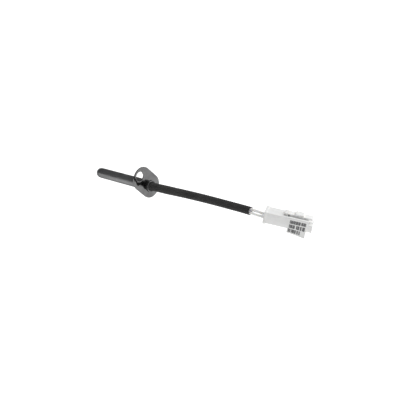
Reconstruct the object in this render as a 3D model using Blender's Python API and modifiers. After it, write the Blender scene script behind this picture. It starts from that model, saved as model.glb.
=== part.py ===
"""Flame sensor probe: a light cell in a flanged steel tube, on a sleeved two-wire lead with a plug."""

import math

import bmesh
import bpy
from mathutils import Matrix, Vector

MM = 0.001
FIT = 0.05 * MM                  # gap between faces that rest on each other

# Lead: two insulated wires in a braided sleeve
WIRE_OD = 1.4 * MM
WIRE_WALL = 0.3 * MM
CORE_PLAY = 0.06 * MM            # core in its insulation
WIRE_PLAY = 0.16 * MM            # between the two wires
SLEEVE_PLAY = 0.17 * MM          # wires in the sleeve
SLEEVE_WALL = 0.45 * MM
SLEEVE_START = -4.0 * MM         # inside the tube

# Probe tube, along X with its tip at -X and the flange's front face at X = 0
PROBE_LENGTH = 38.8 * MM         # flange front face to the top of the lens
TUBE_WALL = 0.5 * MM
TUBE_PLAY = 0.1 * MM             # sleeve in the tube
BEAD_HEIGHT = 0.22 * MM          # swaged bead in front of the flange
BEAD_LENGTH = 0.45 * MM
LIP_WIDTH = 0.35 * MM            # rolled lip behind the flange
LIP_THICKNESS = 0.5 * MM
MOUTH_WIDTH = 0.4 * MM           # flare that holds the mouth seal
SEAL_DEPTH = 0.35 * MM          # less than the lip is thick

# Flange plate
PLATE_WIDTH = 12.2 * MM
PLATE_SPACING = 7.4 * MM         # between the centres of its two round ends
PLATE_INSET = 0.35 * MM          # from the tube's axis to the nearer of the two
PLATE_THICKNESS = 0.6 * MM
PLATE_EDGE = 0.1 * MM
SCREW_HOLE_D = 5.0 * MM
SCREW_HOLE_RIM = 1.1 * MM        # metal left beyond the screw hole
EAR_ANGLE = math.radians(42.0)   # the screw hole lies this far above -Y

# Lens and light cell
DOME_HEIGHT = 1.7 * MM
LENS_HEAD = 0.5 * MM
LENS_PLUG = 1.5 * MM
LENS_INSET = 0.12 * MM           # lens head inside the tube's outline
WINDOW_SEAL = 0.3 * MM
CELL_THICKNESS = 1.0 * MM
CELL_CAP = 0.35 * MM
TRACK_THICKNESS = 0.12 * MM
TRACK_WIDTH = 0.2 * MM
TRACK_LEGS = 6
CELL_LEAD_D = 0.5 * MM
HOLDER_WALL = 0.2 * MM
HOLDER_BACK = 1.2 * MM
TRACK_FILL = 0.76                # share of the disc that the track covers

# Splices between the cell's leads and the lead's cores
SPLICE_FRONT = -18.0 * MM
SPLICE_LENGTH = 4.0 * MM
SPLICE_WALL = 0.14 * MM
SPLICE_TUBE_WALL = 0.15 * MM
SPLICE_TUBE_OVERHANG = 0.7 * MM
WIRE_START = -13.0 * MM
POTTING_FRONT = -11.0 * MM
POTTING_BACK = -5.0 * MM

# Plug housing, in its own frame: x from the wire end to the mating end, z up, latch on top
PLUG_YAW = math.radians(23.8)
PLUG_PITCH = math.radians(-8.1)
PLUG_ROLL = math.radians(3.0)
HOUSING_WIDTH = 8.0 * MM
HOUSING_HEIGHT = 5.7 * MM
HOUSING_LENGTH = 19.5 * MM
RIM_LENGTH = 1.2 * MM
RIM_STEP = 0.3 * MM
HOUSING_EDGE = 0.2 * MM
PEDESTAL_EDGE = 0.1 * MM
NOSE_LENGTH = 2.2 * MM
NOSE_HEIGHT = 3.3 * MM
NOSE_INSET = 0.4 * MM            # from the side of the housing
NOSE_SLOT = 0.3 * MM
CONTACT_PITCH = 2.5 * MM
CONTACT_DROP = 0.8 * MM          # contact row below the housing's middle
TERMINAL_WALL = 0.15 * MM
TERMINAL_START = 3.0 * MM
BARREL_LENGTH = 2.5 * MM
CORE_BARREL_LENGTH = 3.0 * MM
SOCKET_START = 10.5 * MM
SOCKET_BORE = 1.0 * MM
MATING_HOLE = 1.2 * MM
LATCH_WIDTH = 4.0 * MM
LATCH_GAP = 0.3 * MM
LATCH_EDGE = 0.12 * MM
PEDESTAL_START = 8.6 * MM
PEDESTAL_LENGTH = 1.6 * MM
WEB_LENGTH = 0.8 * MM
WEB_THICKNESS = 0.35 * MM
ARM_LENGTH = 2.2 * MM            # low part of the lever, ahead of the thumb pad
THUMB_LENGTH = 3.8 * MM
THUMB_HEIGHT = 1.35 * MM
TONGUE_LENGTH = 4.0 * MM
TONGUE_THICKNESS = 0.8 * MM
LABEL_THICKNESS = 0.2 * MM
LABEL_START = 11.0 * MM
LABEL_LENGTH = 8.2 * MM
LABEL_FLAP = 1.3 * MM            # part folded over on to the top of the housing
LABEL_TAIL = 2.1 * MM            # free end below the housing
LABEL_SKEW = 0.13                # fall of the tail's lower edge along the housing

# Sizes that follow
WIRE_R = WIRE_OD / 2
CORE_R = WIRE_R - WIRE_WALL - CORE_PLAY
WIRE_OFFSET = WIRE_R + WIRE_PLAY / 2
SLEEVE_BORE_R = WIRE_OFFSET + WIRE_R + SLEEVE_PLAY
SLEEVE_R = SLEEVE_BORE_R + SLEEVE_WALL
TUBE_BORE_R = SLEEVE_R + TUBE_PLAY
TUBE_R = TUBE_BORE_R + TUBE_WALL
TUBE_OFFSET = WIRE_R + 0.2 * MM  # each wire from the axis where it is potted
TUBE_FRONT = -PROBE_LENGTH + DOME_HEIGHT + LENS_HEAD + WINDOW_SEAL + 2 * FIT
TUBE_BACK = PLATE_THICKNESS + FIT + LIP_THICKNESS
MOUTH_R = TUBE_BORE_R + MOUTH_WIDTH
LIP_R = TUBE_R + LIP_WIDTH
INNER_R = TUBE_BORE_R - FIT      # of what slides into the tube
CELL_FRONT = TUBE_FRONT + LENS_PLUG + FIT
DISC_FRONT = CELL_FRONT + CELL_CAP + FIT + TRACK_THICKNESS + FIT
DISC_R = INNER_R - HOLDER_WALL - FIT
LEAD_R = CELL_LEAD_D / 2
HOLDER_STEP = DISC_FRONT + CELL_THICKNESS + FIT
HOLDER_END = HOLDER_STEP + HOLDER_BACK
EAR_CENTRE = PLATE_INSET + PLATE_SPACING
HOLE_DISTANCE = EAR_CENTRE + PLATE_WIDTH / 2 - SCREW_HOLE_RIM - SCREW_HOLE_D / 2
BARREL_R = WIRE_R + FIT + TERMINAL_WALL
CAVITY = 2 * (BARREL_R + FIT)
BODY_HALF_WIDTH = HOUSING_WIDTH / 2 - RIM_STEP
BODY_HALF_HEIGHT = HOUSING_HEIGHT / 2 - RIM_STEP
LATCH_FLOOR = BODY_HALF_HEIGHT + LATCH_GAP
WEB_TOP = LATCH_FLOOR + TONGUE_THICKNESS
PEDESTAL_END = PEDESTAL_START + PEDESTAL_LENGTH

# Where the middle of the housing's wire end lies
PLUG_AT = Vector((67.0, 3.3, -0.3)) * MM

# The pair's route in millimetres, with the angle by which the pair is turned about it
SLEEVE_ROUTE = [
    (-16.0, 0.00, 0.00, 0), (-13.0, 0.00, 0.00, 0), (-9.0, 0.00, 0.00, 0), (-5.0, 0.00, 0.00, 0),
    (-2.0, 0.00, 0.00, 3), (1.3, 0.00, 0.00, 8), (5.3, 0.20, 0.02, 16), (13.1, 0.60, 0.08, 30),
    (20.0, 0.92, 0.20, 42), (27.5, 1.22, 0.29, 52), (37.5, 1.60, 0.28, 60), (48.0, 1.94, 0.14, 62),
    (56.0, 2.16, 0.00, 60), (60.5, 2.31, -0.14, 56),
]
SLEEVE_END_ROW = len(SLEEVE_ROUTE) - 1
SAMPLES = 3                      # points read from the smooth route for each stretch


def clear_scene():
    for item in list(bpy.data.objects):
        bpy.data.objects.remove(item, do_unlink=True)


def make_collection(name):
    group = bpy.data.collections.new(name)
    bpy.context.scene.collection.children.link(group)
    return group


clear_scene()
PARTS = make_collection("flame_sensor_probe")
CUTTERS = make_collection("cutters")


def material(name, colour, roughness, metallic=0.0, alpha=1.0):
    made = bpy.data.materials.new(name)
    made.use_nodes = True
    shader = made.node_tree.nodes["Principled BSDF"]
    shader.inputs["Base Color"].default_value = (*colour, 1.0)
    shader.inputs["Roughness"].default_value = roughness
    shader.inputs["Metallic"].default_value = metallic
    shader.inputs["Alpha"].default_value = alpha
    return made


def add_part(name, data, look, parent=None):
    """Link a mesh or curve to the parts as a node with its own material."""
    part = bpy.data.objects.new(name, data)
    PARTS.objects.link(part)
    part.parent = parent
    data.materials.append(look)
    return part


def shade(part, angle=35):
    """Shade the round faces smooth; a curve's are smooth already, and so are the faces of a Screw."""
    if part.type == "MESH" and part.data.polygons:
        part.data.shade_smooth()
        part.data.set_sharp_from_angle(angle=math.radians(angle))


def mesh_of(part):
    """Turn a curve, with its modifiers, into a welded mesh object of the same name and place."""
    bpy.context.view_layer.update()
    source = part.evaluated_get(bpy.context.evaluated_depsgraph_get())
    data = bpy.data.meshes.new_from_object(source)
    weld = bmesh.new()
    weld.from_mesh(data)
    bmesh.ops.remove_doubles(weld, verts=weld.verts, dist=1e-7)
    weld.to_mesh(data)
    weld.free()
    name, place, parent = part.name, part.matrix_world.copy(), part.parent
    groups = list(part.users_collection)
    bpy.data.objects.remove(part, do_unlink=True)
    solid = bpy.data.objects.new(name, data)
    for group in groups:
        group.objects.link(solid)
    solid.parent = parent
    solid.matrix_world = place
    return solid


def make_cutter(name, data, parent=None):
    tool = bpy.data.objects.new(name, data)
    CUTTERS.objects.link(tool)
    tool.parent = parent
    tool.hide_render = True
    tool.display_type = "WIRE"
    return tool


def boolean(part, tool, operation="DIFFERENCE"):
    step = part.modifiers.new(operation.lower(), "BOOLEAN")
    step.operation = operation
    step.solver = "EXACT"
    step.object = tool


def bevel(part, width, segments=2, angle=40):
    step = part.modifiers.new("edges", "BEVEL")
    step.width = width
    step.segments = segments
    step.limit_method = "ANGLE"
    step.angle_limit = math.radians(angle)


def box_mesh(name, low, high):
    """A box between two corners."""
    low, high = Vector(low), Vector(high)
    size = high - low
    data = bpy.data.meshes.new(name)
    build = bmesh.new()
    bmesh.ops.create_cube(build, size=1.0)
    bmesh.ops.scale(build, vec=size, verts=build.verts)
    bmesh.ops.translate(build, vec=(low + high) / 2, verts=build.verts)
    build.to_mesh(data)
    build.free()
    return data


def rod_mesh(name, radius, start, end, side=0.0, height=0.0, sides=32):
    """A cylinder along X between two stations, moved sideways by (side, height)."""
    data = bpy.data.meshes.new(name)
    build = bmesh.new()
    bmesh.ops.create_cone(build, cap_ends=True, segments=sides, radius1=radius, radius2=radius,
                          depth=end - start)
    bmesh.ops.rotate(build, verts=build.verts, matrix=Matrix.Rotation(math.pi / 2, 3, "Y"))
    bmesh.ops.translate(build, verts=build.verts, vec=((start + end) / 2, side, height))
    build.to_mesh(data)
    build.free()
    return data


def turned(name, profile, look, closed, steps=48):
    """Turn a profile of (radius, x) about the X axis; its outer side runs from +X to -X."""
    data = bpy.data.meshes.new(name)
    build = bmesh.new()
    corners = [build.verts.new((radius, 0, x)) for radius, x in profile]
    for first, second in zip(corners, corners[1:]):
        build.edges.new((first, second))
    if closed:
        build.edges.new((corners[-1], corners[0]))
    build.to_mesh(data)
    build.free()
    part = add_part(name, data, look)
    part.rotation_euler = (0, math.pi / 2, 0)
    screw = part.modifiers.new("turn", "SCREW")
    screw.axis = "Z"
    screw.steps = steps
    screw.render_steps = steps
    screw.use_merge_vertices = True
    screw.merge_threshold = 1e-7
    screw.use_smooth_shade = True
    if not closed:
        weld = part.modifiers.new("poles", "WELD")
        weld.merge_threshold = 1e-7
    return part


def flat_curve(name, outline, half_thickness, parent=None):
    """A filled outline in its own XY plane, thickened both ways along Z."""
    curve = bpy.data.curves.new(name, "CURVE")
    curve.dimensions = "2D"
    curve.fill_mode = "BOTH"
    curve.extrude = half_thickness
    line = curve.splines.new("POLY")
    line.points.add(len(outline) - 1)
    for point, (across, along) in zip(line.points, outline):
        point.co = (across, along, 0, 1)
    line.use_cyclic_u = True
    part = bpy.data.objects.new(name, curve)
    PARTS.objects.link(part)
    part.parent = parent
    return part


def swept(name, points, radius, look, resolution=2, wall=None):
    """A round tube along a route; with a wall it is open at both ends."""
    curve = bpy.data.curves.new(name, "CURVE")
    curve.dimensions = "3D"
    curve.bevel_depth = radius
    curve.bevel_resolution = resolution
    curve.use_fill_caps = wall is None
    line = curve.splines.new("POLY")
    line.points.add(len(points) - 1)
    for point, place in zip(line.points, points):
        point.co = (*place, 1)
    part = add_part(name, curve, look)
    if wall is None:
        return part
    part = mesh_of(part)
    shell = part.modifiers.new("wall", "SOLIDIFY")
    shell.thickness = wall
    shell.offset = -1
    shell.use_even_offset = True
    return part


def smooth_rows(rows, samples):
    """Points of a centripetal spline through the rows, with every column carried along."""
    def blend(first, second, share):
        return [a + (b - a) * share for a, b in zip(first, second)]

    ends = [blend(rows[1], rows[0], 2.0)] + [list(row) for row in rows]
    ends.append(blend(rows[-2], rows[-1], 2.0))
    read = []
    for place in range(1, len(ends) - 2):
        span = ends[place - 1:place + 3]
        knots = [0.0]
        for first, second in zip(span, span[1:]):
            knots.append(knots[-1] + math.dist(first[:3], second[:3]) ** 0.5)
        for step in range(samples):
            at = knots[1] + (knots[2] - knots[1]) * step / samples
            level = span
            for order in (1, 2, 3):
                level = [blend(level[i], level[i + 1], share_between(knots, i, order, at))
                         for i in range(len(level) - 1)]
            read.append(level[0])
    read.append(list(rows[-1]))
    return read


def share_between(knots, index, order, at):
    """How far a station lies between the two knots that one level of the spline blends."""
    if order == 1:
        low, high = knots[index], knots[index + 1]
    elif order == 2:
        low, high = knots[index], knots[index + 2]
    else:
        low, high = knots[index + 1], knots[index + 2]
    return (at - low) / (high - low)


def plug_matrix():
    """Place of the plug's frame: x along the housing, y across it, z up through the latch."""
    turn = (Matrix.Rotation(PLUG_YAW, 4, "Z") @ Matrix.Rotation(-PLUG_PITCH, 4, "Y")
            @ Matrix.Rotation(PLUG_ROLL, 4, "X"))
    return Matrix.Translation(PLUG_AT) @ turn


def pair_rows():
    """The whole route of the wire pair: through the tube and sleeve, then into the housing."""
    rows = [list(row) + [WIRE_OFFSET if row[0] * MM > SLEEVE_START else TUBE_OFFSET]
            for row in SLEEVE_ROUTE]
    place = plug_matrix()
    roll = math.degrees(PLUG_ROLL)
    reach = TERMINAL_START + BARREL_LENGTH + CORE_BARREL_LENGTH
    for along in (0.6 * MM, TERMINAL_START, TERMINAL_START + BARREL_LENGTH, reach):
        spot = place @ Vector((along, 0, -CONTACT_DROP)) / MM
        rows.append([*spot, roll, CONTACT_PITCH / 2])
    return rows


def pair_points(side, first, last):
    """Centre points of one wire (side 1 or -1) between two rows of the route."""
    rows = pair_rows()
    smooth = smooth_rows(rows, SAMPLES)
    tail = len(rows) - 4
    points = []
    for index, (x, y, z, angle, gap) in enumerate(smooth):
        before = Vector(smooth[max(index - 1, 0)][:3])
        after = Vector(smooth[min(index + 1, len(smooth) - 1)][:3])
        along = (after - before).normalized()
        if index >= SAMPLES * tail:
            along = plug_matrix().to_3x3() @ Vector((1, 0, 0))
        across = Vector((0, 0, 1)).cross(along).normalized()
        up = along.cross(across)
        turn = math.radians(angle)
        reach = across * math.cos(turn) + up * math.sin(turn)
        points.append(Vector((x, y, z)) * MM + reach * gap * side)
    return points[first * SAMPLES:last * SAMPLES + 1]


def sleeve_points():
    """Centre points of the sleeve, from inside the tube to its open end."""
    rows = [row for row in smooth_rows(pair_rows()[:SLEEVE_END_ROW + 1], SAMPLES)
            if row[0] * MM > SLEEVE_START]
    return [Vector((SLEEVE_START, 0, 0))] + [Vector(row[:3]) * MM for row in rows]


def arc(centre, radius, start, end, count):
    """Points of an arc between two angles, ends included."""
    turns = [start + (end - start) * step / count for step in range(count + 1)]
    return [(centre[0] + radius * math.cos(t), centre[1] + radius * math.sin(t)) for t in turns]


def probe_tube(look):
    flare = TUBE_BACK - SEAL_DEPTH
    lip_front = PLATE_THICKNESS + FIT
    profile = [
        (MOUTH_R, TUBE_BACK), (LIP_R - 0.12 * MM, TUBE_BACK), (LIP_R, TUBE_BACK - 0.12 * MM),
        (LIP_R, lip_front), (TUBE_R, lip_front), (TUBE_R, -FIT), (TUBE_R + BEAD_HEIGHT, -FIT - 0.1 * MM),
        (TUBE_R + BEAD_HEIGHT, -FIT - BEAD_LENGTH + 0.15 * MM), (TUBE_R, -FIT - BEAD_LENGTH),
        (TUBE_R, TUBE_FRONT), (TUBE_BORE_R, TUBE_FRONT), (TUBE_BORE_R, flare - 0.1 * MM), (MOUTH_R, flare),
    ]
    return turned("probe_tube", profile, look, closed=True, steps=60)


def mouth_seal(look):
    inner = SLEEVE_R + FIT
    outer = MOUTH_R - FIT
    front = TUBE_BACK - SEAL_DEPTH + FIT
    profile = [(inner, TUBE_BACK), (outer, TUBE_BACK), (outer, front), (inner, front)]
    return turned("mouth_seal", profile, look, closed=True)


def flange_plate(look):
    """Obround plate, drawn with the screw hole at +X of its own plane and stood up across X."""
    outline = arc((PLATE_INSET, 0), PLATE_WIDTH / 2, math.pi / 2, 3 * math.pi / 2, 24)
    outline += arc((EAR_CENTRE, 0), PLATE_WIDTH / 2, -math.pi / 2, math.pi / 2, 24)
    plate = flat_curve("flange_plate", outline, PLATE_THICKNESS / 2)
    toward_ear = Vector((0, -math.cos(EAR_ANGLE), math.sin(EAR_ANGLE)))
    normal = Vector((1, 0, 0))
    stand = Matrix((toward_ear, normal.cross(toward_ear), normal)).transposed().to_4x4()
    plate.matrix_world = Matrix.Translation((PLATE_THICKNESS / 2, 0, 0)) @ stand
    plate = mesh_of(plate)
    plate.data.materials.append(look)
    hole_at = toward_ear * HOLE_DISTANCE
    for name, radius, place in (("tube_hole", TUBE_R + FIT, Vector()),
                                ("screw_hole", SCREW_HOLE_D / 2, hole_at)):
        data = rod_mesh(name, radius, -PLATE_THICKNESS, 2 * PLATE_THICKNESS, place.y, place.z, 48)
        boolean(plate, make_cutter(name, data))
    bevel(plate, PLATE_EDGE, segments=1)
    return plate


def window_lens(look):
    """Domed head in front of the tube and a plug that fits inside it."""
    head = TUBE_R - LENS_INSET
    seat = TUBE_FRONT - WINDOW_SEAL - 2 * FIT
    back = TUBE_FRONT + LENS_PLUG
    shoulder = seat - LENS_HEAD
    profile = [(0, back), (INNER_R - 0.1 * MM, back), (INNER_R, back - 0.1 * MM), (INNER_R, seat),
               (head, seat)]
    for step in range(11):
        turn = math.pi / 2 * step / 10
        profile.append((head * math.cos(turn), shoulder - DOME_HEIGHT * math.sin(turn)))
    profile[-1] = (0, shoulder - DOME_HEIGHT)
    return turned("window_lens", profile, look, closed=False)


def window_seal(look):
    back = TUBE_FRONT - FIT
    front = back - WINDOW_SEAL
    outer = TUBE_R - LENS_INSET / 2
    inner = INNER_R + FIT
    profile = [(inner, back), (outer, back), (outer, front), (inner, front)]
    return turned("window_seal", profile, look, closed=True)


def cell_cap(look):
    """Clear resin pad between the lens plug and the light-sensitive track."""
    back = CELL_FRONT + CELL_CAP
    profile = [(0, back), (DISC_R, back), (DISC_R, CELL_FRONT + 0.1 * MM),
               (DISC_R - 0.1 * MM, CELL_FRONT), (0, CELL_FRONT)]
    return turned("cell_cap", profile, look, closed=False, steps=32)


def ribbon(path, half_width):
    """Outline of a flat strip of even width along a path whose corners are square."""
    normals = []
    for (x0, y0), (x1, y1) in zip(path, path[1:]):
        size = math.hypot(x1 - x0, y1 - y0)
        normals.append(((y0 - y1) / size, (x1 - x0) / size))
    left, right = [], []
    for index, (x, y) in enumerate(path):
        first = normals[max(index - 1, 0)]
        second = normals[min(index, len(normals) - 1)]
        shift = first if first == second else (first[0] + second[0], first[1] + second[1])
        left.append((x + shift[0] * half_width, y + shift[1] * half_width))
        right.append((x - shift[0] * half_width, y - shift[1] * half_width))
    return left + right[::-1]


def cell_track(look):
    """Meandering track on the front of the disc, between the two leads."""
    reach = DISC_R * TRACK_FILL
    pitch = 2 * reach / TRACK_LEGS
    legs = [-reach + pitch * (leg + 0.5) for leg in range(TRACK_LEGS)]
    halves = [math.sqrt(reach ** 2 - across ** 2) for across in legs]
    path = [(legs[0], -halves[0])]
    for leg in range(TRACK_LEGS - 1):
        turn = min(halves[leg], halves[leg + 1]) * (-1) ** leg
        path += [(legs[leg], turn), (legs[leg + 1], turn)]
    path.append((legs[-1], halves[-1] * (-1) ** (TRACK_LEGS - 1)))
    strip = flat_curve("cell_track", ribbon(path, TRACK_WIDTH / 2), TRACK_THICKNESS / 2)
    strip.rotation_euler = (0, math.pi / 2, 0)
    strip.location = (DISC_FRONT - FIT - TRACK_THICKNESS / 2, 0, 0)
    strip = mesh_of(strip)
    strip.data.materials.append(look)
    return strip


def cell_disc(look):
    data = rod_mesh("cell_disc", DISC_R, DISC_FRONT, DISC_FRONT + CELL_THICKNESS)
    part = add_part("cell_disc", data, look)
    for side in (1, -1):
        hole = rod_mesh("disc_hole", LEAD_R + FIT, DISC_FRONT - CELL_THICKNESS,
                        DISC_FRONT + 2 * CELL_THICKNESS, side * TUBE_OFFSET, 0, 16)
        boolean(part, make_cutter("disc_hole", hole))
    return part


def cell_holder(look):
    """Cup that centres the cell in the tube, with two holes in its back for the leads."""
    pocket = INNER_R - HOLDER_WALL
    profile = [(0, HOLDER_END), (INNER_R, HOLDER_END), (INNER_R, CELL_FRONT), (pocket, CELL_FRONT),
               (pocket, HOLDER_STEP), (0, HOLDER_STEP)]
    part = turned("cell_holder", profile, look, closed=False)
    for side in (1, -1):
        hole = rod_mesh("holder_hole", LEAD_R + FIT, HOLDER_STEP - HOLDER_BACK, HOLDER_END + HOLDER_BACK,
                        side * TUBE_OFFSET, 0, 16)
        boolean(part, make_cutter("holder_hole", hole))
    return part


def insulator(look):
    """Ceramic rod with two bores, from the cell holder back to the splices."""
    front = HOLDER_END + FIT
    back = SPLICE_FRONT - SPLICE_TUBE_OVERHANG - FIT
    part = add_part("insulator", rod_mesh("insulator", INNER_R, front, back), look)
    for side in (1, -1):
        hole = rod_mesh("insulator_hole", LEAD_R + FIT, front - MM, back + MM, side * TUBE_OFFSET, 0, 16)
        boolean(part, make_cutter("insulator_hole", hole))
    return part


def cell_lead(name, side, look):
    end = SPLICE_FRONT + SPLICE_LENGTH / 2 - FIT
    return add_part(name, rod_mesh(name, LEAD_R, DISC_FRONT, end, side * TUBE_OFFSET, 0, 16), look)


def splice(name, side, look):
    """Crimp barrel with a bore from each end, one for the cell's lead and one for the core."""
    outer = CORE_R + FIT + SPLICE_WALL
    back = SPLICE_FRONT + SPLICE_LENGTH
    middle = (SPLICE_FRONT + back) / 2
    part = add_part(name, rod_mesh(name, outer, SPLICE_FRONT, back, side * TUBE_OFFSET, 0, 24), look)
    for bore, start, end in ((LEAD_R + FIT, SPLICE_FRONT - MM, middle + 0.1 * MM),
                             (CORE_R + FIT, middle, back + MM)):
        boolean(part, make_cutter(name + "_bore", rod_mesh(name + "_bore", bore, start, end,
                                                           side * TUBE_OFFSET, 0, 16)))
    return part


def splice_tube(name, side, look):
    """Insulating tube over one splice, up to where the wire's own insulation starts."""
    bore = CORE_R + SPLICE_WALL + 2 * FIT
    start = SPLICE_FRONT - SPLICE_TUBE_OVERHANG
    end = WIRE_START - FIT
    outer = bore + SPLICE_TUBE_WALL
    part = add_part(name, rod_mesh(name, outer, start, end, side * TUBE_OFFSET, 0, 24), look)
    hole = rod_mesh(name + "_bore", bore, start - MM, end + MM, side * TUBE_OFFSET, 0, 24)
    boolean(part, make_cutter(name + "_bore", hole))
    return part


def potting_plug(look):
    part = add_part("potting_plug", rod_mesh("potting_plug", INNER_R, POTTING_FRONT, POTTING_BACK), look)
    for side in (1, -1):
        hole = rod_mesh("potting_hole", WIRE_R + FIT, POTTING_FRONT - MM, POTTING_BACK + MM,
                        side * TUBE_OFFSET, 0, 24)
        boolean(part, make_cutter("potting_hole", hole))
    return part


def cavity_cutters(plug):
    """The two contact cavities, open at the wire end, and the smaller holes at the mating end."""
    tools = []
    for side in (1, -1):
        middle = side * CONTACT_PITCH / 2
        nose_end = HOUSING_LENGTH + NOSE_LENGTH
        bores = (("cavity", CAVITY / 2, -MM, HOUSING_LENGTH - 0.3 * MM),
                 ("mating_hole", MATING_HOLE / 2, HOUSING_LENGTH - MM, nose_end + MM))
        for name, half, start, end in bores:
            data = box_mesh(name, (start, middle - half, -CONTACT_DROP - half),
                            (end, middle + half, -CONTACT_DROP + half))
            tools.append(make_cutter(name, data, plug))
    return tools


def connector_housing(look, plug):
    """Housing with a rim at the wire end, a nose at the mating end and the latch's pedestal."""
    body = box_mesh("connector_housing", (RIM_LENGTH / 2, -BODY_HALF_WIDTH, -BODY_HALF_HEIGHT),
                    (HOUSING_LENGTH, BODY_HALF_WIDTH, BODY_HALF_HEIGHT))
    part = add_part("connector_housing", body, look, plug)
    bevel(part, HOUSING_EDGE)
    rim = box_mesh("rim", (0, -HOUSING_WIDTH / 2, -HOUSING_HEIGHT / 2),
                   (RIM_LENGTH, HOUSING_WIDTH / 2, HOUSING_HEIGHT / 2))
    nose_half = BODY_HALF_WIDTH - NOSE_INSET
    nose_low = -CONTACT_DROP - NOSE_HEIGHT / 2
    nose = box_mesh("nose", (HOUSING_LENGTH - MM, -nose_half, nose_low),
                    (HOUSING_LENGTH + NOSE_LENGTH, nose_half, nose_low + NOSE_HEIGHT))
    pedestal = box_mesh("pedestal", (PEDESTAL_START, -LATCH_WIDTH / 2, BODY_HALF_HEIGHT - 0.5 * MM),
                        (PEDESTAL_END, LATCH_WIDTH / 2, WEB_TOP))
    for data in (rim, nose, pedestal):
        tool = make_cutter(data.name, data, plug)
        bevel(tool, PEDESTAL_EDGE if data is pedestal else HOUSING_EDGE)
        boolean(part, tool, "UNION")
    for tool in cavity_cutters(plug):
        boolean(part, tool)
    slot = box_mesh("nose_slot", (HOUSING_LENGTH + 0.4 * MM, -NOSE_SLOT / 2, nose_low - MM),
                    (HOUSING_LENGTH + NOSE_LENGTH + MM, NOSE_SLOT / 2, nose_low + NOSE_HEIGHT + MM))
    boolean(part, make_cutter("nose_slot", slot, plug))
    return part


def terminal(name, side, look, plug):
    """Crimped contact: insulation barrel, core barrel and a square socket at the front."""
    middle = side * CONTACT_PITCH / 2
    drop = -CONTACT_DROP
    core_start = TERMINAL_START + BARREL_LENGTH
    core_end = core_start + CORE_BARREL_LENGTH
    half = SOCKET_BORE / 2 + 2 * TERMINAL_WALL
    socket_end = HOUSING_LENGTH - 0.3 * MM - FIT
    shoulder = core_start + 0.3 * MM
    barrel = rod_mesh(name, BARREL_R, TERMINAL_START, shoulder, middle, drop, 24)
    part = add_part(name, barrel, look, plug)
    neck = rod_mesh(name + "_neck", CORE_R + FIT + TERMINAL_WALL, core_start, SOCKET_START + MM,
                    middle, drop, 24)
    boolean(part, make_cutter(name + "_neck", neck, plug), "UNION")
    socket = box_mesh(name + "_socket", (SOCKET_START, middle - half, drop - half),
                      (socket_end, middle + half, drop + half))
    boolean(part, make_cutter(name + "_socket", socket, plug), "UNION")
    pin = SOCKET_BORE / 2
    pin_hole = box_mesh(name + "_pin", (SOCKET_START + 2 * MM, middle - pin, drop - pin),
                        (socket_end + MM, middle + pin, drop + pin))
    boolean(part, make_cutter(name + "_pin", pin_hole, plug))
    for bore, start, end in ((WIRE_R + FIT, TERMINAL_START - MM, core_start + FIT),
                             (CORE_R + FIT, core_start - MM, core_end + 0.3 * MM)):
        data = rod_mesh(name + "_bore", bore, start, end, middle, drop, 24)
        boolean(part, make_cutter(name + "_bore", data, plug))
    return part


def latch_lever(look, plug):
    """Lever with its origin on the line where it bends, at the top of the pedestal."""
    hinge = bpy.data.objects.new("latch_hinge", None)
    PARTS.objects.link(hinge)
    hinge.parent = plug
    hinge.location = (PEDESTAL_END + FIT, 0, WEB_TOP)
    half = LATCH_WIDTH / 2
    web = box_mesh("latch_lever", (0, -half + FIT, -WEB_THICKNESS), (WEB_LENGTH + 0.5 * MM, half - FIT, 0))
    part = add_part("latch_lever", web, look, hinge)
    floor = LATCH_FLOOR - WEB_TOP
    thumb_start = WEB_LENGTH + ARM_LENGTH
    thumb_end = thumb_start + THUMB_LENGTH
    thumb = box_mesh("thumb", (thumb_start, -half, floor), (thumb_end, half, floor + THUMB_HEIGHT))
    tongue = box_mesh("tongue", (WEB_LENGTH, -half + 2 * FIT, floor + FIT),
                      (thumb_end + TONGUE_LENGTH, half - 2 * FIT, floor + TONGUE_THICKNESS - FIT))
    for data in (thumb, tongue):
        tool = make_cutter(data.name, data, hinge)
        bevel(tool, LATCH_EDGE)
        boolean(part, tool, "UNION")
    return part


def label(look, plug):
    """Folded label: a flap on top of the housing, a side panel and a free tail below it."""
    inside = -BODY_HALF_WIDTH - FIT
    outside = inside - LABEL_THICKNESS
    under = BODY_HALF_HEIGHT + FIT
    top = under + LABEL_THICKNESS
    foot = -BODY_HALF_HEIGHT - LABEL_TAIL
    outline = [(inside + LABEL_FLAP, top), (inside, top), (outside, top - 0.15 * MM), (outside, foot),
               (inside, foot), (inside, under), (inside + LABEL_FLAP, under)]
    sheet = flat_curve("label", outline, LABEL_LENGTH / 2, plug)
    sheet.matrix_local = Matrix(((0, 0, 1, LABEL_START + LABEL_LENGTH / 2), (1, 0, 0, 0), (0, 1, 0, 0),
                                 (0, 0, 0, 1)))
    sheet = mesh_of(sheet)
    for corner in sheet.data.vertices:
        if corner.co.y < foot / 2:
            corner.co.y -= (corner.co.z + LABEL_LENGTH / 2) * LABEL_SKEW
    sheet.data.materials.append(look)
    return sheet


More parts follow.
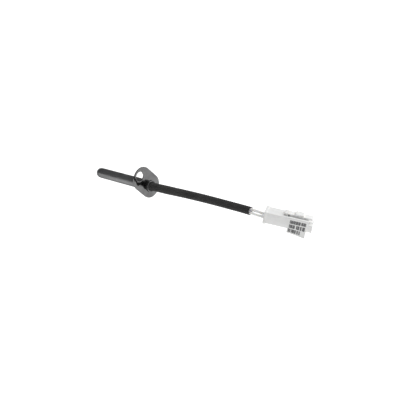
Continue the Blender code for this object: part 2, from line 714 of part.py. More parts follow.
def build():
    steel = (0.62, 0.62, 0.63)
    nylon = (0.86, 0.86, 0.85)
    tin = (0.72, 0.71, 0.68)
    rounded = [
        probe_tube(material("tube_steel", steel, 0.18, 1.0)),
        mouth_seal(material("seal_black", (0.01, 0.01, 0.01), 0.55)),
        window_lens(material("smoked_glass", (0.2, 0.2, 0.21), 0.06, alpha=0.6)),
        window_seal(material("window_seal_black", (0.02, 0.02, 0.02), 0.6)),
        cell_cap(material("clear_resin", (0.7, 0.66, 0.58), 0.15, alpha=0.5)),
        cell_holder(material("holder_white", (0.82, 0.81, 0.78), 0.5)),
        cell_disc(material("cell_ceramic", (0.84, 0.83, 0.8), 0.45)),
        insulator(material("insulator_ceramic", (0.8, 0.78, 0.72), 0.5)),
        potting_plug(material("potting_black", (0.03, 0.03, 0.03), 0.4)),
        flange_plate(material("plate_steel", steel, 0.12, 1.0)),
    ]
    cell_track(material("track_red", (0.42, 0.13, 0.06), 0.5))

    first_wire = 1
    last_wire = SLEEVE_END_ROW + 3
    last_core = last_wire + 1
    look_sleeve = material("sleeve_black", (0.02, 0.02, 0.02), 0.85)
    rounded.append(swept("lead_sleeve", sleeve_points(), SLEEVE_R, look_sleeve, 4, SLEEVE_WALL))
    plug = bpy.data.objects.new("plug_frame", None)
    PARTS.objects.link(plug)
    plug.matrix_world = plug_matrix()
    for letter, side in (("a", 1), ("b", -1)):
        white = material("wire_white_" + letter, (0.85, 0.85, 0.84), 0.45)
        copper = material("copper_" + letter, (0.72, 0.42, 0.3), 0.35, 1.0)
        tube_look = material("splice_tube_" + letter, (0.75, 0.73, 0.66), 0.6)
        jacket = pair_points(side, first_wire, last_wire)
        rounded += [
            cell_lead("cell_lead_" + letter, side, material("cell_lead_tin_" + letter, tin, 0.3, 1.0)),
            splice("splice_" + letter, side, material("splice_tin_" + letter, tin, 0.35, 1.0)),
            splice_tube("splice_tube_" + letter, side, tube_look),
            swept("core_" + letter, pair_points(side, 0, last_core), CORE_R, copper),
            swept("wire_" + letter, jacket, WIRE_R, white, wall=WIRE_WALL),
            terminal("terminal_" + letter, side, material("terminal_tin_" + letter, tin, 0.3, 1.0), plug),
        ]
    connector_housing(material("housing_white", nylon, 0.42), plug)
    latch_lever(material("latch_white", nylon, 0.42), plug)
    label(material("label_paper", (0.82, 0.82, 0.81), 0.7), plug)
    for part in rounded:
        shade(part)


build()
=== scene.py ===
import math
import bmesh
import bpy
from mathutils import Matrix, Vector


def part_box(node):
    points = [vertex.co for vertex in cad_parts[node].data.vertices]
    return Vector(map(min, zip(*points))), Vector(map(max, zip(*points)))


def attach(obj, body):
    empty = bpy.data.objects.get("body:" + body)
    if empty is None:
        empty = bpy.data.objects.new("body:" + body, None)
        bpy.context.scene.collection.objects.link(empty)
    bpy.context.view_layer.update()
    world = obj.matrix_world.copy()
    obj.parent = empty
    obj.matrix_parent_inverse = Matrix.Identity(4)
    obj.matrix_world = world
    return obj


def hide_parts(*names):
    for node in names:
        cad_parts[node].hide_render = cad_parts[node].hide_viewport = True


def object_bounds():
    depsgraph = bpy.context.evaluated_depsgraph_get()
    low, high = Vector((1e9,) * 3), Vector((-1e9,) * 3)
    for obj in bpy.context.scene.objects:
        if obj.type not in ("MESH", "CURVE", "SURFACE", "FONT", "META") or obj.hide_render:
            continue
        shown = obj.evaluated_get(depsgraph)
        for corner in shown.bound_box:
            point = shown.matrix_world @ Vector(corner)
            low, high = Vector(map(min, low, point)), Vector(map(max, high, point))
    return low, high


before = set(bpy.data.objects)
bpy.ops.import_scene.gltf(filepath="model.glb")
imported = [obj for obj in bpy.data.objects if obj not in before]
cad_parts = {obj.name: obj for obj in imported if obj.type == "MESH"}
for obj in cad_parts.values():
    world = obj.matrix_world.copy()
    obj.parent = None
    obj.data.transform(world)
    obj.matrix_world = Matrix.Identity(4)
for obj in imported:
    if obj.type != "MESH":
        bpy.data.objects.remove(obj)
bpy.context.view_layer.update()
mm = 0.001
scene = bpy.context.scene
print("frame loaded:", len(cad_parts), "nodes")


# camera, floor and light

view = {
    "azimuth": 38.8,
    "elevation": 20.2,
    "place": (203.3, -206.4, 94.2),  # mm
    "lens": 52.05,
    "nudge": (-0.0012, 0.0012),
}
studio = {
    "floorDrop": 22,  # mm below the lowest point
    "floorGlow": 0.4,
    "sky": 0.2,
    "sun": 3.0,
    "sunFrom": (0.3, 0.5, 0.81),
    "sunSpread": 72,  # degrees
}


def aimAlong(azimuth, elevation):
    turn, tilt = math.radians(azimuth), math.radians(elevation)
    back = Vector((math.sin(turn) * math.cos(tilt), -math.cos(turn) * math.cos(tilt), math.sin(tilt)))
    right = Vector((math.cos(turn), math.sin(turn), 0))
    return Matrix((right, back.cross(right), back)).transposed()


def setCamera():
    camera = bpy.data.objects.new("camera", bpy.data.cameras.new("camera"))
    scene.collection.objects.link(camera)
    camera.data.lens = view["lens"]
    camera.data.sensor_width = 36
    camera.data.shift_x, camera.data.shift_y = view["nudge"]
    camera.data.clip_start = 0.005
    camera.matrix_world = (Matrix.Translation(Vector(view["place"]) * mm)
                           @ aimAlong(view["azimuth"], view["elevation"]).to_4x4())
    scene.camera = camera


def softSun():
    lamp = bpy.data.objects.new("softSun", bpy.data.lights.new("softSun", "SUN"))
    lamp.data.energy = studio["sun"]
    lamp.data.angle = math.radians(studio["sunSpread"])
    lamp.matrix_world = Vector(studio["sunFrom"]).to_track_quat("Z", "Y").to_matrix().to_4x4()
    scene.collection.objects.link(lamp)


setCamera()
scene.view_settings.view_transform = "Standard"
scene.world = bpy.data.worlds.new("studio")
scene.world.use_nodes = True
scene.world.node_tree.nodes["Background"].inputs["Color"].default_value = (0.98, 0.99, 1.0, 1)
scene.world.node_tree.nodes["Background"].inputs["Strength"].default_value = studio["sky"]
softSun()
print("camera and lights set")


# shader maths

class Signal:
    def __init__(self, finish, socket):
        self.finish = finish
        self.socket = socket

    def combine(self, operation, other):
        return self.finish.value("ShaderNodeMath", {"operation": operation}, [self, other])

    def __add__(self, other):
        return self.combine("ADD", other)

    def __sub__(self, other):
        return self.combine("SUBTRACT", other)

    def __mul__(self, other):
        return self.combine("MULTIPLY", other)

    def __truediv__(self, other):
        return self.combine("DIVIDE", other)

    def __gt__(self, other):
        return self.combine("GREATER_THAN", other)

    def __lt__(self, other):
        return self.combine("LESS_THAN", other)

    def __mod__(self, other):
        return self.combine("FLOORED_MODULO", other)


class Finish:  # one material and the nodes that make it
    def __init__(self, name, colour, roughness, metallic=0.0, **fixed):
        self.material = bpy.data.materials.new(name)
        self.material.use_nodes = True
        self.tree = self.material.node_tree
        self.shader = self.tree.nodes["Principled BSDF"]
        self.shader.inputs["Base Color"].default_value = (*colour, 1)
        self.shader.inputs["Roughness"].default_value = roughness
        self.shader.inputs["Metallic"].default_value = metallic
        for socket, amount in fixed.items():
            self.shader.inputs[socket.replace("_", " ")].default_value = amount

    def node(self, kind, settings, values):
        made = self.tree.nodes.new(kind)
        for name, setting in settings.items():
            setattr(made, name, setting)
        pairs = values.items() if isinstance(values, dict) else enumerate(values)
        for name, amount in pairs:
            if isinstance(amount, Signal):
                amount = amount.socket
            if isinstance(amount, bpy.types.NodeSocket):
                self.tree.links.new(amount, made.inputs[name])
            elif amount is not None:
                made.inputs[name].default_value = amount
        return made

    def value(self, kind, settings, values, output=0):
        return Signal(self, self.node(kind, settings, values).outputs[output])

    def place(self, stretch=(1, 1, 1), turn=(0, 0, 0)):
        here = self.node("ShaderNodeTexCoord", {}, {}).outputs["Object"]
        mapped = self.node("ShaderNodeMapping", {}, {"Vector": here, "Rotation": turn, "Scale": stretch})
        return mapped.outputs[0]

    def flat(self):  # the piece's own UV in millimetres, as two values
        uv = self.node("ShaderNodeUVMap", {"uv_map": "mmMap"}, {}).outputs[0]
        split = self.node("ShaderNodeSeparateXYZ", {}, [uv])
        return Signal(self, split.outputs[0]), Signal(self, split.outputs[1])

    def noise(self, scale, detail=3.0, vector=None, roughness=0.5):
        return self.value("ShaderNodeTexNoise", {}, {"Vector": vector or self.place(), "Scale": scale,
                                                     "Detail": detail, "Roughness": roughness})

    def span(self, signal, low, high, fromLow=0.3, fromHigh=0.7):
        return self.value("ShaderNodeMapRange", {}, [signal, fromLow, fromHigh, low, high])

    def mixed(self, amount, first, second):
        made = self.node("ShaderNodeMix", {"data_type": "RGBA"}, {"Factor": amount})
        for name, shade in (("A", first), ("B", second)):
            socket = [s for s in made.inputs if s.name == name and s.type == "RGBA"][0]
            if isinstance(shade, bpy.types.NodeSocket):
                self.tree.links.new(shade, socket)
            else:
                socket.default_value = (*shade, 1)
        return [s for s in made.outputs if s.type == "RGBA"][0]

    def feed(self, socket, signal):
        self.tree.links.new(getattr(signal, "socket", signal), self.shader.inputs[socket])

    def bump(self, height, depth, strength=1.0):  # depth in mm
        made = self.node("ShaderNodeBump", {}, {"Strength": strength, "Distance": depth * mm,
                                                "Height": height})
        self.feed("Normal", made.outputs[0])
        return self


def steelTurned():  # drawn tube: fine rings, long soft streaks and a few handling marks
    look = Finish("steelTurned", (0.24, 0.24, 0.245), 0.28, 1.0, Specular_Tint=(0.35, 0.35, 0.35, 1))
    rings = look.noise(1, 2, look.place((9000, 500, 500)))
    streaks = look.noise(1, 4, look.place((60, 900, 900)))
    smudge = look.noise(160, 5, roughness=0.65)
    look.feed("Base Color", look.mixed(look.span(streaks + smudge, 0, 1, 0.7, 1.3),
                                       (0.17, 0.17, 0.172), (0.27, 0.27, 0.272)))
    look.feed("Roughness", look.span(smudge, 0.32, 0.46))
    return look.bump(rings * 0.6 + streaks, 0.012, 0.5).material


def steelSheet():  # stamped sheet: faint straight grain, cloudy polish, fine scratches
    look = Finish("steelSheet", (0.17, 0.17, 0.17), 0.14, 1.0, Specular_Tint=(0.35, 0.35, 0.35, 1))
    grain = look.noise(1, 3, look.place((400, 9000, 600), (0.75, 0, 0)))
    clouds = look.noise(260, 4, roughness=0.6)
    marks = look.noise(1, 2, look.place((600, 500, 6000), (0.9, 0, 0)))
    scratch = look.span(marks, 0, 1, 0.68, 0.72)
    look.feed("Base Color", look.mixed(look.span(clouds, 0, 1), (0.13, 0.13, 0.131), (0.19, 0.19, 0.19)))
    look.feed("Roughness", look.span(clouds, 0.07, 0.17) + scratch * 0.12)
    return look.bump(grain * 0.4 - scratch, 0.006, 0.4).material


def smokedGlass():
    look = Finish("smokedGlass", (0.2, 0.2, 0.205), 0.08, Coat_Weight=0.6, Coat_Roughness=0.03,
                  Transmission_Weight=0.15, IOR=1.52)
    haze = look.noise(500, 4)
    look.feed("Base Color", look.mixed(look.span(haze, 0, 1), (0.17, 0.171, 0.175), (0.25, 0.25, 0.255)))
    look.feed("Roughness", look.span(haze, 0.03, 0.12))
    return look.bump(haze, 0.004, 0.3).material


def rubberBlack():
    look = Finish("rubberBlack", (0.012, 0.012, 0.012), 0.5)
    grain = look.noise(2600, 3)
    dust = look.noise(400, 5, roughness=0.7)
    look.feed("Base Color", look.mixed(look.span(dust, 0, 1, 0.5, 0.8), (0.009, 0.009, 0.009),
                                       (0.035, 0.034, 0.033)))
    look.feed("Roughness", look.span(dust, 0.4, 0.65))
    return look.bump(grain, 0.02, 0.5).material


def braidBlack():  # filaments along each strand, with random worn patches
    look = Finish("braidBlack", (0.03, 0.03, 0.03), 0.7, Sheen_Weight=0.06, Sheen_Roughness=0.4,
                  Specular_IOR_Level=0.25)
    along, across = look.flat()
    spot = look.node("ShaderNodeCombineXYZ", {}, [along * 0.35, across * 1.0, 0.0]).outputs[0]
    wander = look.noise(1.6, 2, spot)
    thread = look.value("ShaderNodeMath", {"operation": "SINE"}, [(across * 42.0) + wander * 3.0])
    strand = look.node("ShaderNodeCombineXYZ", {}, [along * 0.8, across * 7.0, 0.0]).outputs[0]
    hair = look.noise(5, 4, strand)
    worn = look.noise(90, 4)
    fibre = thread * 0.25 + hair
    look.feed("Base Color", look.mixed(look.span(fibre * 0.7 + worn * 0.6, 0, 1, 0.45, 0.95),
                                       (0.02, 0.02, 0.0205), (0.078, 0.077, 0.076)))
    look.feed("Roughness", look.span(fibre, 0.6, 0.85, 0.2, 0.8))
    return look.bump(fibre, 0.05, 0.8).material


def insulationWhite():
    look = Finish("insulationWhite", (0.92, 0.92, 0.91), 0.4, Specular_IOR_Level=0.25,
                  Subsurface_Weight=0.15, Subsurface_Radius=(0.0006, 0.0005, 0.0004))
    soil = look.noise(240, 5, roughness=0.7)
    draw = look.noise(1, 2, look.place((500, 4200, 4200)))
    look.feed("Base Color", look.mixed(look.span(soil, 0, 1, 0.42, 0.75), (0.93, 0.93, 0.92),
                                       (0.82, 0.81, 0.79)))
    look.feed("Roughness", look.span(soil, 0.34, 0.55))
    return look.bump(draw, 0.014, 0.6).material


def nylonWhite(name, light=0.87):  # moulded: fine eroded grain, slight flow lines, soiled scuffs in random patches
    look = Finish(name, (0.84, 0.84, 0.83), 0.42, Specular_IOR_Level=0.25, Subsurface_Weight=0.12,
                  Subsurface_Radius=(0.0008, 0.0007, 0.0006))
    grain = look.noise(3200, 2)
    flow = look.noise(1, 4, look.place((120, 420, 420), (0, 0.14, 0.42)), roughness=0.6)
    scuff = look.span(look.noise(700, 6, roughness=0.75), 0, 1, 0.6, 0.78)
    shade = look.mixed(look.span(flow, 0, 1, 0.3, 0.72), (light, light, light - 0.005),
                       (light - 0.09, light - 0.09, light - 0.105))
    look.feed("Base Color", look.mixed(scuff * 0.5, shade, (0.7, 0.69, 0.67)))
    look.feed("Roughness", look.span(flow, 0.34, 0.5) + scuff * 0.15)
    return look.bump(grain * 0.6 + flow * 0.5, 0.014, 0.55).material


def stickerPaper():  # white paper with rows of plain dark blocks, as a data sticker has from afar
    look = Finish("stickerPaper", (0.84, 0.84, 0.83), 0.55)
    along, down = look.flat()
    ink = None
    for top, first, last, seed in label["rows"]:
        row = (down > top) * (down < top + label["rowHeight"]) * (along > first) * (along < last)
        cell = look.node("ShaderNodeCombineXYZ", {}, [
            look.value("ShaderNodeMath", {"operation": "FLOOR"}, [along / label["block"]]),
            float(seed), 0.0]).outputs[0]
        chance = look.value("ShaderNodeTexWhiteNoise", {"noise_dimensions": "3D"}, {"Vector": cell})
        gap = (along % label["pitch"]) > label["space"]
        part = row * (chance > 0.1) * gap
        ink = part if ink is None else ink + part
    fibre = look.noise(1500, 5, roughness=0.7)
    soil = look.noise(200, 4)
    paper = look.mixed(look.span(soil, 0, 1), (0.86, 0.86, 0.85), (0.78, 0.78, 0.77))
    look.feed("Base Color", look.mixed(ink * look.span(fibre, 0.75, 1.0), paper, (0.035, 0.035, 0.04)))
    look.feed("Roughness", look.span(fibre, 0.45, 0.65))
    return look.bump(fibre, 0.01, 0.5).material


def plainFinish(name, light, dark, roughness, metallic=0.0, scale=900, depth=0.012, **fixed):
    look = Finish(name, light, roughness, metallic, **fixed)
    grain = look.noise(scale, 5, roughness=0.65)
    look.feed("Base Color", look.mixed(look.span(grain, 0, 1), light, dark))
    look.feed("Roughness", look.span(grain, roughness * 0.8, roughness * 1.25))
    return look.bump(grain, depth, 0.5).material


# mesh helpers

probe, latch = "probe", "latch"


def finishPiece(bm, name, material, body, replaced=(), smooth=32, repair=True):
    if repair:
        bmesh.ops.remove_doubles(bm, verts=bm.verts, dist=1e-7)
        bmesh.ops.recalc_face_normals(bm, faces=bm.faces)
    mesh = bpy.data.meshes.new(name)
    bm.to_mesh(mesh)
    bm.free()
    mesh.materials.append(material)
    mesh.shade_smooth()
    mesh.set_sharp_from_angle(angle=math.radians(smooth))
    piece = bpy.data.objects.new(name, mesh)
    scene.collection.objects.link(piece)
    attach(piece, body)
    if replaced:
        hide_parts(*replaced)
    return piece


def softenEdges(bm, width, segments=3, above=40):
    sharp = [e for e in bm.edges if len(e.link_faces) == 2 and e.calc_face_angle(0) > math.radians(above)]
    bmesh.ops.bevel(bm, geom=sharp, offset=width * mm, offset_type="OFFSET", affect="EDGES",
                    segments=segments, profile=0.5, material=-1, clamp_overlap=True)


def boxBetween(low, high, round=0.0, segments=3):  # corners in mm
    bm = bmesh.new()
    bmesh.ops.create_cube(bm, size=1)
    low, high = Vector(low) * mm, Vector(high) * mm
    bmesh.ops.scale(bm, vec=high - low, verts=bm.verts)
    bmesh.ops.translate(bm, vec=(low + high) / 2, verts=bm.verts)
    if round:
        softenEdges(bm, round, segments)
    return bm


def rodBetween(radius, start, end, side=0.0, height=0.0, sides=64):  # along X, in mm
    bm = bmesh.new()
    bmesh.ops.create_cone(bm, cap_ends=True, segments=sides, radius1=radius * mm, radius2=radius * mm,
                          depth=(end - start) * mm)
    bmesh.ops.rotate(bm, verts=bm.verts, matrix=Matrix.Rotation(math.pi / 2, 3, "Y"))
    bmesh.ops.translate(bm, verts=bm.verts, vec=Vector(((start + end) / 2, side, height)) * mm)
    return bm


def carved(bm, steps):  # joins or cuts a mesh with others, each (operation, mesh)
    def asObject(shape):
        mesh = bpy.data.meshes.new("working")
        shape.to_mesh(mesh)
        shape.free()
        item = bpy.data.objects.new("working", mesh)
        scene.collection.objects.link(item)
        return item

    base = asObject(bm)
    tools = []
    for operation, shape in steps:
        tools.append(asObject(shape))
        step = base.modifiers.new("step", "BOOLEAN")
        step.operation, step.solver, step.object = operation, "EXACT", tools[-1]
    solid = bmesh.new()
    solid.from_object(base, bpy.context.evaluated_depsgraph_get())
    for item in [base] + tools:
        bpy.data.objects.remove(item, do_unlink=True)
    return solid


def turnedShape(profile, steps=96):  # (x, radius) in mm, spun about X
    bm = bmesh.new()
    corners = [bm.verts.new((x * mm, 0, radius * mm)) for x, radius in profile]
    edges = [bm.edges.new(pair) for pair in zip(corners, corners[1:])]
    if profile[0] != profile[-1] and min(profile[0][1], profile[-1][1]) > 0:
        edges.append(bm.edges.new((corners[-1], corners[0])))
    bmesh.ops.spin(bm, geom=corners + edges, cent=(0, 0, 0), axis=(1, 0, 0), angle=math.tau, steps=steps,
                   use_merge=True, use_duplicate=False)
    bmesh.ops.remove_doubles(bm, verts=bm.verts, dist=1e-7)
    bmesh.ops.recalc_face_normals(bm, faces=bm.faces)
    return bm


def nodeBox(node):  # lowest and highest corner in mm
    low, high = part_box(node)
    return [c / mm for c in low], [c / mm for c in high]


# probe tube, lens and seals

def buildTube():
    tube = {"lip": 3.05, "outer": 2.7, "bore": 2.2, "mouth": 2.6, "bead": 0.22, "edge": 0.05, "crimp": 0.04}
    low, high = nodeBox("probe_tube")
    back, front = high[0], low[0]
    o, b = tube["outer"], tube["bore"]
    profile = [(back, tube["mouth"]), (back, tube["lip"] - 0.1), (back - 0.05, tube["lip"] - 0.03),
               (back - 0.13, tube["lip"]), (back - 0.44, tube["lip"]), (back - 0.5, tube["lip"] - 0.05),
               (back - 0.5, o), (-0.05, o), (-0.08, o + tube["bead"] * 0.7), (-0.17, o + tube["bead"]),
               (-0.3, o + tube["bead"]), (-0.42, o + tube["bead"] * 0.6), (-0.5, o + 0.02), (-0.62, o)]
    profile += [(x, o) for x in (-6, -12, -18, -24, -30)]
    profile += [(front + 0.9, o), (front + 0.45, o - tube["crimp"]), (front + 0.12, o - tube["crimp"]),
                (front, o - 0.1), (front, b), (back - 0.45, b), (back - 0.35, tube["mouth"])]
    bm = turnedShape(profile)
    softenEdges(bm, tube["edge"] * 0.5, 2, 60)
    return finishPiece(bm, "drawnTube", steelTurned(), probe, ["probe_tube"])


def buildLens():
    lens = {"head": 2.58, "plug": 2.15, "dome": 1.7}
    low, high = nodeBox("window_lens")
    tip, back = low[0], high[0]
    shoulder = tip + lens["dome"]
    profile = [(tip, 0)]
    for step in range(2, 25):
        turn = step * math.pi / 48
        profile.append((shoulder - lens["dome"] * math.cos(turn), lens["head"] * math.sin(turn)))
    profile += [(shoulder + 0.42, lens["head"]), (shoulder + 0.5, lens["head"] - 0.08),
                (shoulder + 0.5, lens["plug"]), (back - 0.1, lens["plug"]), (back, lens["plug"] - 0.1),
                (back, 0)]
    return finishPiece(turnedShape(profile), "lensDome", smokedGlass(), probe,
                       ["window_lens"])


def buildSeals():
    rubber = rubberBlack()
    low, high = nodeBox("window_seal")
    outer = high[2]
    ring = [(low[0], outer - 0.28), (low[0], outer - 0.05), (low[0] + 0.06, outer), (high[0] - 0.06, outer),
            (high[0], outer - 0.05), (high[0], outer - 0.28)]
    finishPiece(turnedShape(ring), "windowRing", rubber, probe, ["window_seal"])
    low, high = nodeBox("mouth_seal")
    back, outer, inner = high[0], high[2], 2.15
    lips = [(low[0], inner), (low[0], outer), (back - 0.12, outer), (back - 0.02, outer - 0.07),
            (back, outer - 0.16), (back - 0.07, outer - 0.22), (back - 0.02, inner + 0.1),
            (back - 0.06, inner)]
    finishPiece(turnedShape(lips), "mouthRing", rubber, probe, ["mouth_seal"])


def buildPlate():
    plate = {"radius": 6.1, "nearEnd": 0.35, "farEnd": 7.75, "thick": 0.6, "tubeHole": 2.75,
             "screwHole": 2.5, "holeAt": 10.25, "turn": 42, "edge": 0.07}
    bm = bmesh.new()
    bmesh.ops.create_circle(bm, cap_ends=True, segments=160, radius=plate["radius"] * mm)
    bmesh.ops.rotate(bm, verts=bm.verts, matrix=Matrix.Rotation(math.pi / 160, 3, "Z"))
    bmesh.ops.translate(bm, verts=[v for v in bm.verts if v.co.x > 0],
                        vec=((plate["farEnd"] - plate["nearEnd"]) * mm, 0, 0))
    bmesh.ops.translate(bm, verts=bm.verts, vec=(plate["nearEnd"] * mm, 0, 0))
    raised = bmesh.ops.extrude_face_region(bm, geom=bm.faces[:])
    bmesh.ops.translate(bm, verts=[v for v in raised["geom"] if isinstance(v, bmesh.types.BMVert)],
                        vec=(0, 0, plate["thick"] * mm))
    bmesh.ops.recalc_face_normals(bm, faces=bm.faces)
    turn = math.radians(plate["turn"])
    toEar = Vector((0, -math.cos(turn), math.sin(turn)))
    stand = Matrix((toEar, Vector((1, 0, 0)).cross(toEar), Vector((1, 0, 0)))).transposed()
    bmesh.ops.rotate(bm, verts=bm.verts, matrix=stand)
    hole = toEar * plate["holeAt"]
    bm = carved(bm, [("DIFFERENCE", rodBetween(plate["tubeHole"], -1, 2, 0, 0, 96)),
                     ("DIFFERENCE", rodBetween(plate["screwHole"], -1, 2, hole.y, hole.z, 96))])
    softenEdges(bm, plate["edge"], 3, 50)
    return finishPiece(bm, "stampedPlate", steelSheet(), probe, ["flange_plate"], 20)


# lead: the pair's route in mm with its turn, as the CAD has it

lead = {
    "route": [(-16.0, 0, 0, 0), (-13.0, 0, 0, 0), (-9.0, 0, 0, 0), (-5.0, 0, 0, 0),
              (-2.0, 0, 0, 3), (1.3, 0, 0, 8), (5.3, 0.20, 0.02, 16), (13.1, 0.60, 0.08, 30),
              (20.0, 0.92, 0.20, 42), (27.5, 1.22, 0.29, 52), (37.5, 1.60, 0.28, 60),
              (48.0, 1.94, 0.14, 62), (56.0, 2.16, 0.00, 60), (60.5, 2.31, -0.14, 56)],
    "sleeveStart": -4.0,
    "sleeveRadius": 2.1,
    "wireRadius": 0.7,
    "gap": 0.78,
    "gapInTube": 0.9,
    "plugGap": 1.25,
    "plugRows": (0.6, 3.0, 5.5, 8.5),
    "drop": 0.8,
}
plugFrame = {"at": (67.0, 3.3, -0.3), "yaw": 23.8, "pitch": -8.1, "roll": 3.0}
plugTurn = (Matrix.Rotation(math.radians(plugFrame["yaw"]), 4, "Z")
            @ Matrix.Rotation(math.radians(-plugFrame["pitch"]), 4, "Y")
            @ Matrix.Rotation(math.radians(plugFrame["roll"]), 4, "X"))
toPlug = Matrix.Translation(Vector(plugFrame["at"]) * mm) @ plugTurn


def smoothRows(rows, samples):  # centripetal spline through rows of numbers
    def blend(first, second, share):
        return [a + (b - a) * share for a, b in zip(first, second)]

    ends = [blend(rows[1], rows[0], 2)] + [list(row) for row in rows] + [blend(rows[-2], rows[-1], 2)]
    read = []
    for at in range(1, len(ends) - 2):
        span = ends[at - 1:at + 3]
        knots = [0.0]
        for first, second in zip(span, span[1:]):
            knots.append(knots[-1] + math.dist(first[:3], second[:3]) ** 0.5)
        for step in range(samples):
            here = knots[1] + (knots[2] - knots[1]) * step / samples
            level = span
            for lows, highs in (((0, 1, 2), (1, 2, 3)), ((0, 1), (2, 3)), ((1,), (2,))):
                shares = [(here - knots[low]) / (knots[high] - knots[low])
                          for low, high in zip(lows, highs)]
                level = [blend(level[i], level[i + 1], share) for i, share in enumerate(shares)]
            read.append(level[0])
    return read + [list(rows[-1])]


def pairRows():
    rows = [list(row) + [lead["gap"] if row[0] > lead["sleeveStart"] else lead["gapInTube"]]
            for row in lead["route"]]
    for along in lead["plugRows"]:
        spot = toPlug @ (Vector((along, 0, -lead["drop"])) * mm) / mm
        rows.append([*spot, plugFrame["roll"], lead["plugGap"]])
    return rows


def wirePath(side, first, last, samples=6):
    rows = pairRows()
    read = smoothRows(rows, samples)
    path = []
    for index, (x, y, z, angle, gap) in enumerate(read):
        ahead = Vector(read[min(index + 1, len(read) - 1)][:3]) - Vector(read[max(index - 1, 0)][:3])
        if index >= samples * (len(rows) - 4):
            ahead = plugTurn.to_3x3() @ Vector((1, 0, 0))
        across = Vector((0, 0, 1)).cross(ahead).normalized()
        up = ahead.normalized().cross(across)
        turn = math.radians(angle)
        path.append((Vector((x, y, z)) + (across * math.cos(turn) + up * math.sin(turn)) * gap * side) * mm)
    return path[first * samples:last * samples + 1]


def sleevePath(samples=8):
    rows = smoothRows(pairRows()[:len(lead["route"])], samples)
    inside = [Vector(row[:3]) * mm for row in rows if row[0] > lead["sleeveStart"]]
    return [Vector((lead["sleeveStart"] * mm, 0, 0))] + inside


def carriedFrames(path, count):  # evenly spaced (point, side, up) along a path
    lengths = [0.0]
    for first, second in zip(path, path[1:]):
        lengths.append(lengths[-1] + (second - first).length)
    frames, side, index = [], Vector((0, 1, 0)), 0
    for step in range(count + 1):
        at = lengths[-1] * step / count
        while index < len(path) - 2 and lengths[index + 1] < at:
            index += 1
        share = (at - lengths[index]) / (lengths[index + 1] - lengths[index])
        along = (path[index + 1] - path[index]).normalized()
        side = (side - along * side.dot(along)).normalized()
        frames.append((path[index].lerp(path[index + 1], share), side, along.cross(side)))
    return frames, lengths[-1]


def sweptTube(path, radius, name, material, body, replaced, sides=20):
    curve = bpy.data.curves.new(name, "CURVE")
    curve.dimensions = "3D"
    curve.bevel_depth = radius * mm
    curve.bevel_resolution = sides // 2 - 2
    curve.use_fill_caps = True
    line = curve.splines.new("POLY")
    line.points.add(len(path) - 1)
    for point, place in zip(line.points, path):
        point.co = (*place, 1)
    holder = bpy.data.objects.new(name, curve)
    scene.collection.objects.link(holder)
    bm = bmesh.new()
    drawn = holder.evaluated_get(bpy.context.evaluated_depsgraph_get())
    bm.from_mesh(bpy.data.meshes.new_from_object(drawn))
    bpy.data.objects.remove(holder, do_unlink=True)
    return finishPiece(bm, name, material, body, replaced)


